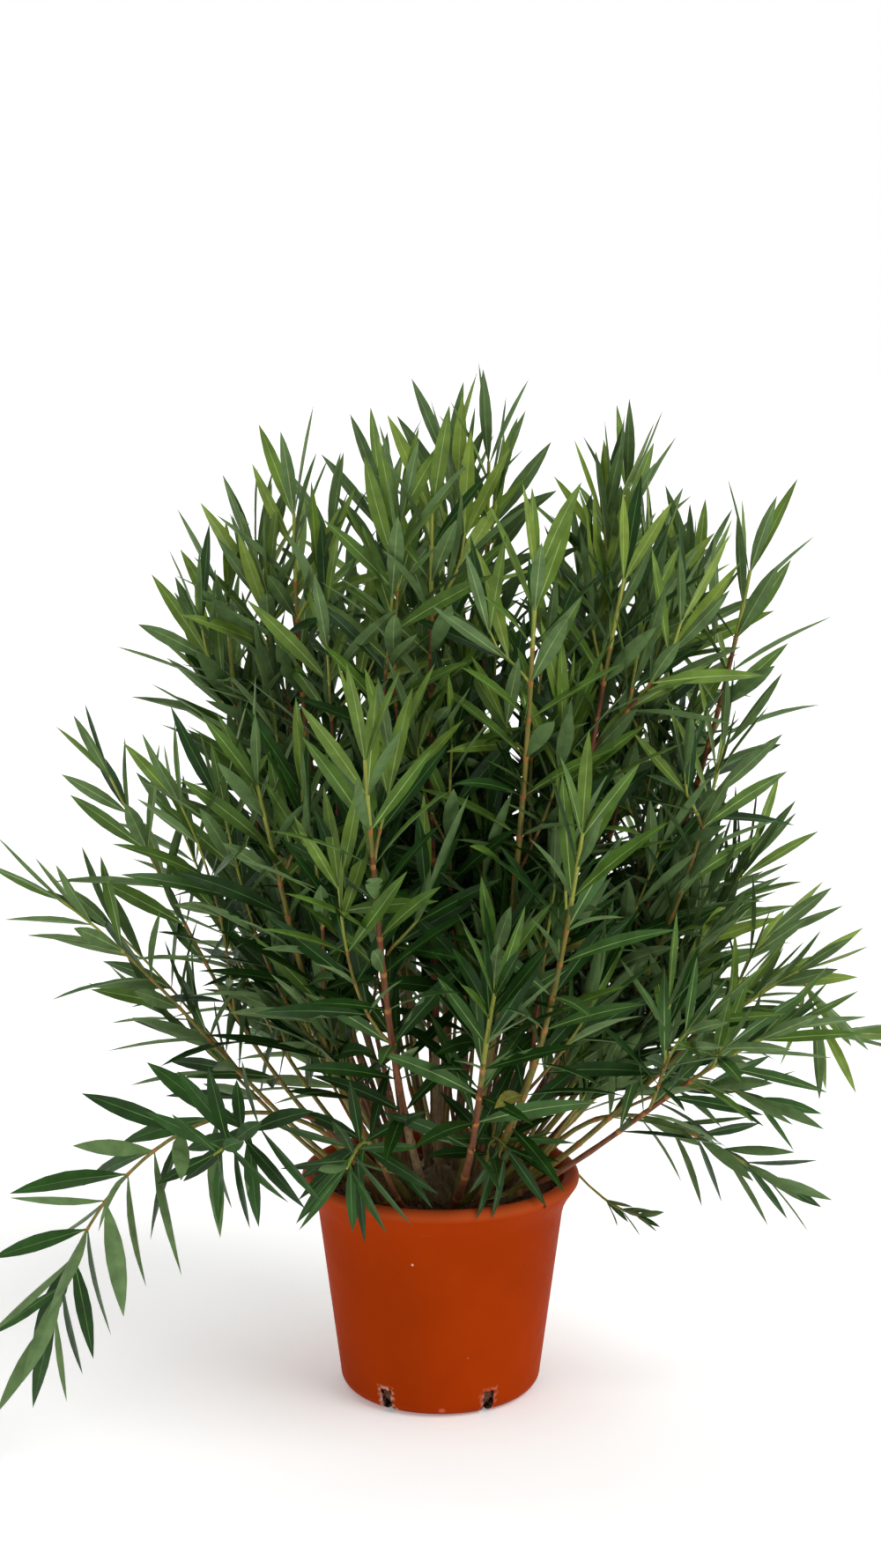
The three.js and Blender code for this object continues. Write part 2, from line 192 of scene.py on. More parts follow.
# The broad one that opens flat.
STAR = {**ROSETTE, "opening": (48, 78, 94), "length": 0.124, "width": 0.0235}
HABITS = {
    "left_reach_upper": OPEN,
    "left_reach_lower": OPEN,
    "back_low_left": OPEN,
    "left_low": OPEN,
    "left_droop": TRAILING,
    "front_star": STAR,
    "right_outer": FINE,
    "right_outer_low": FINE,
    "right_sweep": SWEEPING,
    "right_low": FINE,
    "right_droop": HANGING,
    "over_rim": ROSETTE,
    "over_soil": {**ROSETTE, "opening": (34, 56, 66)},
}
WHORL = {"leaves": 3, "turn": 60, "stray": 24, "facing": (-0.2, 1.0)}
BLADE = {"thickness": 0.0009, "rib": 0.0008, "fold": 0.22}
# How much leaves differ: in size, and in how far they droop, arch, sway to one side and twist.
STRAY = {
    "size": (0.84, 1.08),
    "droop": 0.04,
    "arch": (-0.03, 0.12),
    "young_arch": 0.4,
    "sway": 0.05,
    "twist": 0.5,
}
# Finer twigs leave every fifth whorl and run beside their parent, most of them to near its tip.
SPUR = {
    "first": 3,
    "every": 5,
    "reach": (0.35, 0.98),
    "offset": (0.042, 0.078),
    "lean": 34,
    "turn": (-1.15, 0.15),
    "radius": 0.0025,
}
# Thin suckers leave all but the foremost stems just above the compost and stay inside the crown.
SUCKER = {
    "behind": -0.22,
    "from": (0.01, 0.10),
    "reach": (0.34, 0.62),
    "offset": (0.015, 0.070),
    "lean": 14,
    "turn": (-1.0, 0.0),
    "bare": (0.45, 0.75),
    "radius": (0.0024, 0.0036),
}

# A thin twig that has grown over the rim and hangs outside it.
RIM_TWIG = {
    "beside": "right_droop",
    "root": (0.090, 0.100, 0.293),
    "leaving": (0.44, 0.44, 0.78),
    "tip": (0.290, 0.040, 0.236),
    "arriving": (0.78, -0.62, -0.05),
    "pull": 0.155,
    "bare": 0.70,
    "radius": 0.0020,
    "habit": {**HANGING, "spacing": 0.026, "length": 0.056, "width": 0.0105},
}
STEM = {"root": 0.0062, "flare": 1.4, "flare_length": 0.05, "tip": 0.0026, "taper": 1.15}
TWIG_TIP = 0.0017
# Each joint's half length and swelling, and how far apart the scars on a bare stem are.
JOINT = {"half": 0.0035, "clear": 1.8, "swell": 0.2, "spacing": 0.062, "lowest": 0.06}
# Bark is ridged where a stem is thicker than this, fully so when it is thicker by "over".
RIDGE = {"from": 0.0032, "over": 0.004, "height": 0.055, "waves": 3}
# How far from the tip each bark reaches, and how wide a scar is.
BARK = {"green": 0.1, "olive": 0.15, "red": (0.4, 0.7), "stray": (0.8, 1.25), "scar": 0.5, "scar_width": 0.003}

# One row for each shoot, as in the source: name, azimuth, reach, height, lean at the root and at the
# tip, share that is bare, and forks.
SHOOTS = [
    ("centre_tall", 40, 0.088, 1.335, 6, 3, 0.24, 2),
    ("centre_front", -95, 0.135, 1.285, 14, 2, 0.22, 1),
    ("upper_left", -172, 0.203, 1.270, 18, 0, 0.22, 2),
    ("upper_right", 14, 0.270, 1.293, 20, 6, 0.22, 2),
    ("back_centre", 110, 0.250, 1.268, 20, 4, 0.22, 1),
    ("left_shoulder", 174, 0.300, 1.140, 30, 2, 0.24, 1),
    ("back_left", 147, 0.370, 1.045, 34, 8, 0.24, 1),
    ("back_right", 37, 0.380, 1.165, 34, 8, 0.24, 2),
    ("right_shoulder", -2, 0.428, 1.190, 38, 10, 0.24, 1),
    ("right_mid", -30, 0.284, 1.195, 28, 12, 0.24, 2),
    ("right_front", -61, 0.258, 1.208, 26, 8, 0.22, 1),
    ("front_left", -107, 0.335, 0.980, 42, 6, 0.25, 1),
    ("left_inner", -143, 0.308, 0.922, 40, 16, 0.25, 1),
    ("front_right", -58, 0.350, 0.878, 44, 16, 0.25, 1),
    ("right_outer", -11, 0.397, 0.955, 46, 12, 0.28, 1),
    ("left_reach_upper", -169, 0.464, 0.916, 50, 26, 0.28, 1),
    ("back_reach", 88, 0.480, 0.900, 50, 22, 0.28, 1),
    ("back_low_left", 154, 0.428, 0.790, 54, 28, 0.28, 1),
    ("back_low_right", 42, 0.485, 0.832, 52, 26, 0.28, 1),
    ("right_outer_low", 8, 0.448, 0.772, 54, 24, 0.3, 1),
    ("front_centre", -78, 0.340, 0.670, 50, 36, 0.3, 1),
    ("left_reach_lower", -163, 0.542, 0.758, 54, 50, 0.34, 1),
    ("right_sweep", -15, 0.510, 0.650, 56, 58, 0.32, 2),
    ("right_low", -26, 0.515, 0.595, 60, 60, 0.32, 1),
    ("back_skirt", 124, 0.525, 0.600, 60, 58, 0.32, 1),
    ("left_low", -177, 0.385, 0.555, 60, 50, 0.5, 0),
    ("front_star", -133, 0.440, 0.448, 38, 105, 0.55, 0),
    ("right_droop", -5, 0.470, 0.322, 34, 122, 0.42, 1),
    ("left_droop", -148, 0.610, 0.222, 22, 166, 0.4, 0),
    ("over_rim", -116, 0.288, 0.408, 46, 118, 0.55, 0),
    ("over_soil", -58, 0.176, 0.398, 36, 118, 0.5, 0),
]

# Which shoots are joined in one piece: the last row of each part of the crown.
PARTS = [("middle", 5), ("shoulders", 15), ("skirt", 26), ("arching", 31)]

# How far out and up the painted shade inside the crown reaches, and how it fades there.
INSIDE = {"reach": 0.42, "height": 0.85, "fade": 1.15}
# What makes a spray lighter: how high and far out it is, which is painted light, and its own nature and chance.
# "tip" is for the youngest leaves, and each step passed is one tint lighter.
LIGHTNESS = {
    "low": 0.45,
    "height": (0.85, 0.8),
    "reach": (0.35, 0.7),
    "nature": 0.30,
    "outer": 0.62,
    "curve": 1.5,
    "chance": 0.25,
    "tip": 0.12,
    "steps": (0.26, 0.44, 0.70, 0.93),
}
# The share of a shaded shoot's leaves that get the darkest painted shade, and from what age and how seldom a
# leaf turns yellow.
SHADED = 0.45
TURNING = {"age": 0.9, "chance": 0.96}

CAMERA = {"lens": 66.5, "distance": 4.0, "height": 1.65, "pitch": 10.8}
# Azimuth, height, softness and power of each lamp.
LAMPS = {"key": (-34, 52, 36, 1.66), "crown": (100, 66, 50, 0.80)}
# The studio's brightness near the floor and overhead, and the heights between which it fades.
STUDIO = {"From Min": 0.1, "From Max": 0.4, "To Min": 1.0, "To Max": 0.47}
FLOOR = {"radius": 30, "glow": 0.2}

UP = np.array([0.0, 0.0, 1.0])

# ---- The growth rule ----------------------------------------------------------------------------


# A number from 0 to 1 that is always the same for the same seed and draw.
def vary(seed, draw):
    wave = math.sin(seed * 12.9898 + draw * 78.233) * 43758.5453
    return wave - math.floor(wave)


def stray(seed, draw, most):
    return (vary(seed, draw) * 2 - 1) * most


def between(low, high, share):
    return low + (high - low) * share


def leaning(azimuth, lean):
    turn, tilt = math.radians(azimuth), math.radians(lean)
    return np.array([math.cos(turn) * math.sin(tilt), math.sin(turn) * math.sin(tilt), math.cos(tilt)])


def unit(vector):
    return vector / np.linalg.norm(vector)


def turned(vector, axis, angle):
    across = np.cross(axis, vector)
    return vector * math.cos(angle) + across * math.sin(angle) + axis * (axis @ vector) * (1 - math.cos(angle))


# A direction square to a line's own, at an angle round it. At 0 it is level.
def round_about(along, turn):
    across = np.cross(along, UP)
    if across @ across < 1e-4:
        across = np.array([1.0, 0.0, 0.0])
    return turned(unit(across), along, turn)


class Line:
    """A curve that leaves one point in one direction and reaches another, measured along itself."""

    def __init__(self, start, leaving, end, arriving, pull, sways=(0, 0), aside=UP):
        first = start + leaving * pull + aside * sways[0]
        second = end - arriving * pull + aside * sways[1]
        self.knots = np.array([start, first, second, end])
        self.grid = np.linspace(0, 1, 201)
        steps = np.linalg.norm(np.diff(self.at(self.grid), axis=0), axis=1)
        self.measured = np.concatenate([[0], np.cumsum(steps)])
        self.length = self.measured[-1]

    def at(self, place):
        t = np.asarray(place)[..., None]
        a, b, c, d = self.knots
        return a * (1 - t) ** 3 + b * 3 * t * (1 - t) ** 2 + c * 3 * t * t * (1 - t) + d * t**3

    def place(self, share):
        return np.interp(np.asarray(share) * self.length, self.measured, self.grid)

    def point(self, share):
        return self.at(self.place(share))

    def tangent(self, share):
        t = np.asarray(self.place(share))[..., None]
        a, b, c, d = self.knots
        slope = (b - a) * (1 - t) ** 2 + (c - b) * 2 * t * (1 - t) + (d - c) * t * t
        return slope / np.linalg.norm(slope, axis=-1, keepdims=True)


# The whole line of a shoot, from just under the compost's top to its tip.
def stem_line(azimuth, reach, height, root_lean, tip_lean, seed):
    lean = math.degrees(math.atan2(reach, height - COMPOST_TOP))
    root_reach = min(ROOT["inner"] + ROOT["per_degree"] * lean, ROOT["outer"])
    root = leaning(azimuth, 90) * root_reach + UP * (COMPOST_TOP - ROOT["depth"])
    tip = leaning(azimuth, 90) * reach + UP * height
    pull = np.linalg.norm(tip - root) * BEND["arch_pull" if tip_lean > BEND["arch_lean"] else "pull"]
    sways = stray(seed, 1, BEND["sway"]), stray(seed, 2, BEND["sway"])
    leaving, arriving = leaning(azimuth, root_lean), leaning(azimuth, tip_lean)
    return Line(root, leaving, tip, arriving, pull, sways, leaning(azimuth + 90, 90))


def whorl_shares(line, start, habit):
    whorls = np.arange(habit["most"])
    from_tip = habit["tip"] + whorls * habit["spacing"] + whorls**2 * habit["widening"]
    shares = 1 - from_tip / line.length
    return shares[shares >= start]


def fork_line(parent, share, turn, seed, fork):
    start, along = parent.point(share), parent.tangent(share)
    end_share = share + (1 - share) * between(*fork["reach"], vary(seed, 5))
    arriving = parent.tangent(end_share)
    offset = between(*fork["offset"], vary(seed, 6))
    end = parent.point(end_share) + round_about(arriving, turn) * offset
    leaving = along * math.cos(math.radians(fork["lean"]))
    leaving = leaving + round_about(along, turn) * math.sin(math.radians(fork["lean"]))
    return Line(start, leaving, end, arriving, np.linalg.norm(end - start) / 3)


# A twig is a line with whorls of leaves on it, from one share of it to its tip.
def make_twig(line, seed, start, root_radius, habit):
    whorls = whorl_shares(line, start, habit)
    return {"line": line, "seed": seed, "whorls": whorls, "root": root_radius, "habit": habit}


# The radius of the leader at a share of its length.
def leader_radius(line, share, habit):
    foot = np.clip(1 - share * line.length / STEM["flare_length"], 0, 1)
    taper = between(STEM["root"], STEM["tip"], np.asarray(share) ** STEM["taper"])
    return taper * between(1, STEM["flare"], foot * foot) * habit["stem"]


def grow_shoot(row, seed):
    name, azimuth, reach, height, root_lean, tip_lean, bare, forks = row
    habit = HABITS.get(name, USUAL)
    line = stem_line(azimuth, reach, height, root_lean, tip_lean, seed)
    leader = make_twig(line, seed, bare + LEAF_START["leader"], STEM["root"], habit)
    leader["bare"] = bare
    twigs = [leader]
    starts = whorl_shares(line, bare + LEAF_START["leader"], SOURCE_WHORL)
    for i in range(forks):
        turn = math.pi * (vary(seed, 4) + i - 1)
        start, fork_seed = starts[-1 - i * 2], seed * 3 + i + 40
        fork = fork_line(line, start, turn, fork_seed, SOURCE_FORK)
        radius = leader_radius(line, start, habit) * FORK_THICKNESS
        twigs.append(make_twig(fork, fork_seed, LEAF_START["fork"], radius, habit))
    if habit["spurs"]:
        for parent in list(twigs):
            twigs += grow_spurs(parent)
        if line.point(1)[1] > SUCKER["behind"]:
            twigs += grow_suckers(line, seed, habit)
    if name == RIM_TWIG["beside"]:
        twigs.append(grow_rim_twig(seed))
    return twigs


def grow_rim_twig(seed):
    root, leaving, tip, arriving = (np.array(RIM_TWIG[key]) for key in ("root", "leaving", "tip", "arriving"))
    line = Line(root, unit(leaving), tip, unit(arriving), RIM_TWIG["pull"])
    return make_twig(line, seed + 900, RIM_TWIG["bare"], RIM_TWIG["radius"], RIM_TWIG["habit"])


# The finer twigs that leave a leader or a fork, swing out a little and run beside it.
def grow_spurs(parent):
    line, seed = parent["line"], parent["seed"]
    spurs = []
    for i, share in enumerate(parent["whorls"][SPUR["first"]::SPUR["every"]]):
        spur_seed = seed * 7 + i * 3 + 200
        turn = math.pi * between(*SPUR["turn"], vary(spur_seed, 4))
        spur = fork_line(line, share, turn, spur_seed, SPUR)
        spurs.append(make_twig(spur, spur_seed, LEAF_START["spur"], SPUR["radius"], parent["habit"]))
    return spurs


# The thin stems that rise beside a shoot's own, the lower part of each of them bare.
def grow_suckers(line, seed, habit):
    suckers = []
    for i in range(4 if vary(seed, 52) < 0.5 else 3):
        sucker_seed = seed * 5 + i + 500
        chance = vary(sucker_seed, 53)
        share, bare, radius = (between(*SUCKER[key], chance) for key in ("from", "bare", "radius"))
        turn = math.pi * between(*SUCKER["turn"], vary(sucker_seed, 4))
        sucker = fork_line(line, share, turn, sucker_seed, SUCKER)
        suckers.append(make_twig(sucker, sucker_seed, bare, radius, habit))
    return suckers


# How deep inside the crown a spot is, from 0 at its outside to 1 low down by the stems.
def inner_depth(spot):
    out = math.hypot(spot[0], spot[1]) / INSIDE["reach"]
    up = (spot[2] - COMPOST_TOP) / INSIDE["height"]
    return max(0, min(1, INSIDE["fade"] - max(out, up)))


# The leaves of one whorl of a twig, each as what the leaf builder needs.
def whorl_leaves(twig, whorl):
    line, seed, share, habit = twig["line"], twig["seed"], twig["whorls"][whorl], twig["habit"]
    along, root = line.tangent(share), line.point(share)
    from_tip = (1 - share) * line.length
    grown = min(1, from_tip / habit["grown_at"])
    age = min(1, from_tip / habit["old_at"])
    tuft, opened, old = habit["opening"]
    outward = unit(root * np.array([1, 1, 0]) + 1e-6)
    leaves = []
    for leaf in range(WHORL["leaves"]):
        draw = 10 + whorl * 17 + leaf * 5
        turn = 360 * vary(seed, 3) + whorl * WHORL["turn"] + 360 / WHORL["leaves"] * leaf
        turn += stray(seed, draw, WHORL["stray"] / 2)
        opening = between(tuft, opened, grown) + (old - opened) * age
        opening = math.radians(opening + stray(seed, draw + 1, habit["opening_stray"]))
        aim = along * math.cos(opening) + round_about(along, math.radians(turn)) * math.sin(opening)
        facing = along + outward * between(*WHORL["facing"], vary(seed, draw + 9))
        across = unit(np.cross(facing, aim))
        across = turned(across, aim, math.radians(stray(seed, draw + 2, habit["roll"])))
        size = between(habit["tuft"], 1, grown) * between(*STRAY["size"], vary(seed, draw + 3))
        arch = between(*STRAY["arch"], vary(seed, draw + 5)) * between(STRAY["young_arch"], 1, grown)
        leaves.append({
            "root": root,
            "aim": aim,
            "across": across,
            "over": np.cross(aim, across),
            "length": habit["length"] * size,
            "width": habit["width"] * size,
            "droop": between(*habit["droop"], age) + STRAY["droop"] * vary(seed, draw + 4),
            "arch": arch,
            "sway": stray(seed, draw + 6, STRAY["sway"]),
            "twist": stray(seed, draw + 7, STRAY["twist"]),
            "tint": leaf_tint(twig, draw, whorl, age, root),
        })
    return leaves


# ---- Leaves -------------------------------------------------------------------------------------

# From shade to young the tints are one leaf green in steps of painted shade and painted light, mixed with the
# leaves' own differences in age and green; old is a turning leaf's own yellow.
TINTS = ["shade", "deep", "cool", "mid", "bright", "young", "old"]
RIB, PAINTED_SHADE_RIB, UNDER = (len(TINTS) + i for i in range(3))


# A twig's leaves keep near one tint. Painted light makes it lighter the higher and the further out they are,
# and painted shade makes it darkest deep inside the crown. Those at its tip are younger and a few at its foot
# are turning.
def leaf_tint(twig, draw, whorl, age, spot):
    seed = twig["seed"]
    chance = vary(seed, draw + 8)
    # Painted shade: leaves deep inside the crown take the darkest tint.
    if chance < inner_depth(spot):
        return TINTS.index("shade")
    # Painted shade: the leaves of shaded shoots are all dark.
    if twig["habit"]["shaded"]:
        return TINTS.index("deep" if chance > SHADED else "shade")
    if age > TURNING["age"] and chance > TURNING["chance"]:
        return TINTS.index("old")
    # Painted light: higher and further out is lighter, on top of the leaf's own chance.
    (high, height), (wide, reach) = LIGHTNESS["height"], LIGHTNESS["reach"]
    outer = high * (spot[2] - LIGHTNESS["low"]) / height + wide * math.hypot(spot[0], spot[1]) / reach
    light = LIGHTNESS["nature"] * vary(seed, 8)
    light += LIGHTNESS["outer"] * min(1, max(0, outer)) ** LIGHTNESS["curve"]
    light += LIGHTNESS["chance"] * chance
    light += twig["habit"]["pale"]
    if whorl < 2:
        light += LIGHTNESS["tip"]
    return 1 + sum(light > step for step in LIGHTNESS["steps"])


# Leaves dropped onto the compost: where each lies, the way it points, its length and its tint.
FALLEN = [
    (-0.014, -0.004, 205, 0.046, "young"),
    (0.062, -0.052, 24, 0.092, "old"),
    (-0.078, -0.046, 128, 0.074, "old"),
    (0.018, -0.086, 316, 0.058, "shade"),
    (-0.030, 0.094, 70, 0.084, "old"),
    (0.104, 0.052, 250, 0.066, "old"),
]


def fallen_leaves():
    leaves = []
    for i, (x, y, azimuth, length, tint) in enumerate(FALLEN):
        aim, across = leaning(azimuth, 87), leaning(azimuth + 90, 90)
        leaves.append({
            "root": np.array([x, y, COMPOST_TOP + 0.002]),
            "aim": aim,
            "across": across,
            "over": unit(np.cross(aim, across)),
            "length": length,
            "width": length * 0.19,
            "droop": 0,
            "arch": 0.02,
            "sway": stray(i, 31, 0.1),
            "twist": stray(i, 32, 0.4),
            "tint": TINTS.index(tint),
        })
    return leaves


# Stations along a leaf and its half width at each, as a share of its greatest. SIDES are the faces round
# it between two stations.
OUTLINE = [(0, 0.1), (0.05, 0.14), (0.18, 0.56), (0.35, 0.91), (0.52, 1), (0.69, 0.84), (0.85, 0.48), (1, 0)]
SIDES = ["blade", "rib", "blade", "under", "rib", "under"]


# The corners of every leaf's blade. Each station has the left edge, the rib's two sides, the right edge
# and the two sides of the rib below.
def blade_corners(leaves):
    def column(key):
        return np.array([leaf[key] for leaf in leaves])

    root, aim, across, over = (column(key)[:, None, :] for key in ("root", "aim", "across", "over"))
    droop, arch, sway, twist = (column(key)[:, None] for key in ("droop", "arch", "sway", "twist"))
    stations = np.array([station for station, _ in OUTLINE])
    along = column("length")[:, None] * stations
    spine = root + aim * along[..., None] - over * (arch * along * stations)[..., None]
    spine = spine + across * (sway * along * stations)[..., None]
    spine = spine - UP * (droop * along * stations)[..., None]
    angle = (twist * stations)[..., None]
    side = across * np.cos(angle) + over * np.sin(angle)
    top = over * np.cos(angle) - across * np.sin(angle)
    half = column("width")[:, None] / 2 * np.array([width for _, width in OUTLINE])
    rib = np.minimum(half * 0.4, BLADE["rib"] * (1.15 - stations))
    rise = half * BLADE["fold"]
    thick = np.minimum(BLADE["thickness"], half * 0.5)
    places = [(-half, rise), (-rib, 0 * half), (rib, 0 * half), (half, rise), (rib, -thick), (-rib, -thick)]
    corners = [spine + side * out[..., None] + top * up[..., None] for out, up in places]
    body = np.stack(corners, axis=2)[:, :-1].reshape(len(leaves), -1, 3)
    return np.concatenate([body, spine[:, -1:]], axis=1)


# The faces of one leaf: for each, its corners and which of blade, rib or underside it is.
def blade_faces():
    sides = len(SIDES)
    faces = [(tuple(range(sides))[::-1], "under")]
    last = len(OUTLINE) - 1
    for station in range(last):
        here, there = station * sides, (station + 1) * sides
        for i, kind in enumerate(SIDES):
            j = (i + 1) % sides
            if station < last - 1:
                faces.append(((here + i, here + j, there + j, there + i), kind))
            else:
                faces.append(((here + i, here + j, there), kind))
    return faces


# Smooth, but for the edges sharper than the crease.
def crease_edges(mesh, crease):
    mesh.shade_smooth()
    mesh.set_sharp_from_angle(angle=math.radians(crease))


# A mesh as a piece in the scene, with its finishes.
def dressed(name, mesh, looks, crease):
    for look in looks:
        mesh.materials.append(look)
    crease_edges(mesh, crease)
    piece = bpy.data.objects.new(name, mesh)
    bpy.context.collection.objects.link(piece)
    return piece


def build_mesh(name, points, corners, counts, materials, looks, crease=60):
    mesh = bpy.data.meshes.new(name)
    mesh.vertices.add(len(points))
    mesh.vertices.foreach_set("co", points.astype(np.float32).ravel())
    mesh.loops.add(len(corners))
    mesh.loops.foreach_set("vertex_index", corners.astype(np.int32))
    mesh.polygons.add(len(counts))
    starts = np.concatenate([[0], np.cumsum(counts)[:-1]])
    mesh.polygons.foreach_set("loop_start", starts.astype(np.int32))
    mesh.polygons.foreach_set("material_index", materials.astype(np.int32))
    mesh.update(calc_edges=True)
    mesh.validate()
    return dressed(name, mesh, looks, crease)


def make_leaves(name, leaves, looks):
    points = blade_corners(leaves)
    faces = blade_faces()
    template = np.concatenate([corners for corners, _ in faces])
    counts = np.tile([len(corners) for corners, _ in faces], len(leaves))
    steps = np.arange(len(leaves)) * points.shape[1]
    corners = (template[None, :] + steps[:, None]).ravel()
    slots = []
    for leaf in leaves:
        # Painted shade: the darkest leaves get a darker rib.
        rib = PAINTED_SHADE_RIB if leaf["tint"] < TINTS.index("cool") else RIB
        slot_of = {"blade": leaf["tint"], "rib": rib, "under": UNDER}
        slots += [slot_of[kind] for _, kind in faces]
    return build_mesh(name, points.reshape(-1, 3), corners, counts, np.array(slots), looks)


# ---- Stems and twigs ----------------------------------------------------------------------------

BARKS = ["bark", "red", "olive", "green", "scar"]


# Frames along a line that never spin about it.
def frames(tangents):
    sides = [unit(np.cross(tangents[0], [0.31, 0.92, 0.17]))]
    for tangent in tangents[1:]:
        side = sides[-1] - tangent * (tangent @ sides[-1])
        sides.append(unit(side))
    sides = np.array(sides)
    return sides, np.cross(tangents, sides)


# Where a limb has rings: at each joint and on both sides of it, and evenly between.
def ring_shares(line, start, end, joints, step):
    count = max(2, int((end - start) * line.length / step))
    shares = list(np.linspace(start, end, count + 1))
    swell = JOINT["half"] / line.length
    for joint in joints:
        if start + 2 * swell < joint < end - 2 * swell:
            shares = [s for s in shares if abs(s - joint) > JOINT["clear"] * swell or s in (start, end)]
            shares += [joint - swell, joint, joint + swell]
    return np.array(sorted(shares))


# One tapering limb: rings of points, with a swelling at each joint and ridged bark where it is thick.
def limb_rings(line, start, end, radius_at, joints, sides, seed, step=0.022):
    shares = ring_shares(line, start, end, joints, step)
    spots, tangents = line.point(shares), line.tangent(shares)
    across, over = frames(tangents)
    angles = np.arange(sides) * 2 * math.pi / sides
    radii = np.array([radius_at(share) for share in shares])
    swell = np.zeros(len(shares))
    for joint in joints:
        swell += JOINT["swell"] * np.exp(-(((shares - joint) * line.length / JOINT["half"]) ** 2))
    ridges = 1 + swell[:, None] + np.zeros((len(shares), sides))
    woody = np.clip((radii - RIDGE["from"]) / RIDGE["over"], 0, 1)[:, None]
    for wave in range(RIDGE["waves"]):
        turns = 2 + wave * 1.6
        phase = shares[:, None] * line.length * (18 + wave * 31) + 6 * vary(seed, 60 + wave)
        ridges += woody * RIDGE["height"] * np.sin(angles[None, :] * round(turns) + phase)
    cosines, sines = np.cos(angles)[None, :, None], np.sin(angles)[None, :, None]
    out = across[:, None, :] * cosines + over[:, None, :] * sines
    points = spots[:, None, :] + out * (radii[:, None] * ridges)[..., None]
    return shares, points


class Limbs:
    """Gathers limbs into one mesh."""

    def __init__(self):
        self.points, self.corners, self.counts, self.slots = [], [], [], []
        self.size = 0

    def add(self, points, slots):
        rings, sides, _ = points.shape
        base = self.size
        ring = np.arange(sides)
        after = (ring + 1) % sides
        for r in range(rings - 1):
            low, high = base + r * sides, base + (r + 1) * sides
            quads = np.stack([low + ring, low + after, high + after, high + ring], axis=1)
            self.corners.append(quads.ravel())
            self.counts += [4] * sides
            self.slots += [slots[r]] * sides
        self.corners.append(base + ring[::-1])
        self.corners.append(base + (rings - 1) * sides + ring)
        self.counts += [sides, sides]
        self.slots += [slots[0], slots[-1]]
        self.points.append(points.reshape(-1, 3))
        self.size += rings * sides

    def build(self, name, looks):
        points, corners = np.concatenate(self.points), np.concatenate(self.corners)
        return build_mesh(name, points, corners, np.array(self.counts), np.array(self.slots), looks, 70)


# Bark turns from green at the tip through olive and red-brown to grey, with a scar at each joint. Some
# stems stay olive to the foot.
def bark_slots(line, shares, joints, seed, olive):
    slots = []
    stays_olive = vary(seed, 51) < olive
    red_to = between(*BARK["red"], vary(seed, 55))
    ripeness = between(*BARK["stray"], vary(seed, 50))
    for low, high in zip(shares[:-1], shares[1:]):
        middle = (low + high) / 2
        from_tip = (1 - middle) * line.length * ripeness
        near = min((abs(middle - joint) * line.length for joint in joints), default=1)
        if from_tip < BARK["green"]:
            slot = "green"
        elif near < BARK["scar_width"] and from_tip < BARK["scar"]:
            slot = "scar"
        elif from_tip < BARK["olive"] or stays_olive:
            slot = "olive"
        else:
            slot = "red" if from_tip < red_to else "bark"
        slots.append(BARKS.index(slot))
    return slots


# Leaf scars carry on down the bare stem from the lowest whorl.
def joints_of(twig):
    line, whorls = twig["line"], list(twig["whorls"])
    scar = (whorls[-1] if whorls else 1) - JOINT["spacing"] / line.length
    while scar > JOINT["lowest"]:
        whorls.append(scar)
        scar -= JOINT["spacing"] / line.length
    return whorls


# A leader's bare length goes with the stems, and the rest of it with its twigs.
def add_leader(stems, twigs, leader):
    line, seed, habit, bare = (leader[key] for key in ("line", "seed", "habit", "bare"))
    joints = joints_of(leader)

    def radius_at(share):
        return leader_radius(line, share, habit)

    for limbs, start, end, sides in ((stems, 0, bare, 10), (twigs, bare, 1, 8)):
        shares, points = limb_rings(line, start, end, radius_at, joints, sides, seed)
        limbs.add(points, bark_slots(line, shares, joints, seed, habit["olive"]))


def add_side_twig(twigs, twig):
    line, seed, root = twig["line"], twig["seed"], twig["root"]
    joints = joints_of(twig)
    sides = 7 if root > 0.003 else 6

    def radius_at(share):
        return between(root, TWIG_TIP, share)

    shares, points = limb_rings(line, 0, 1, radius_at, joints, sides, seed, 0.03)
    twigs.add(points, bark_slots(line, shares, joints, seed, twig["habit"]["olive"]))


# ---- Materials ----------------------------------------------------------------------------------


# A colour given as it is seen, as the light that makes it.
def linear(*colour):
    def light(c):
        return ((c / 255 + 0.055) / 1.055) ** 2.4 if c > 10 else c / 255 / 12.92

    return tuple(light(channel) for channel in colour) + (1,)


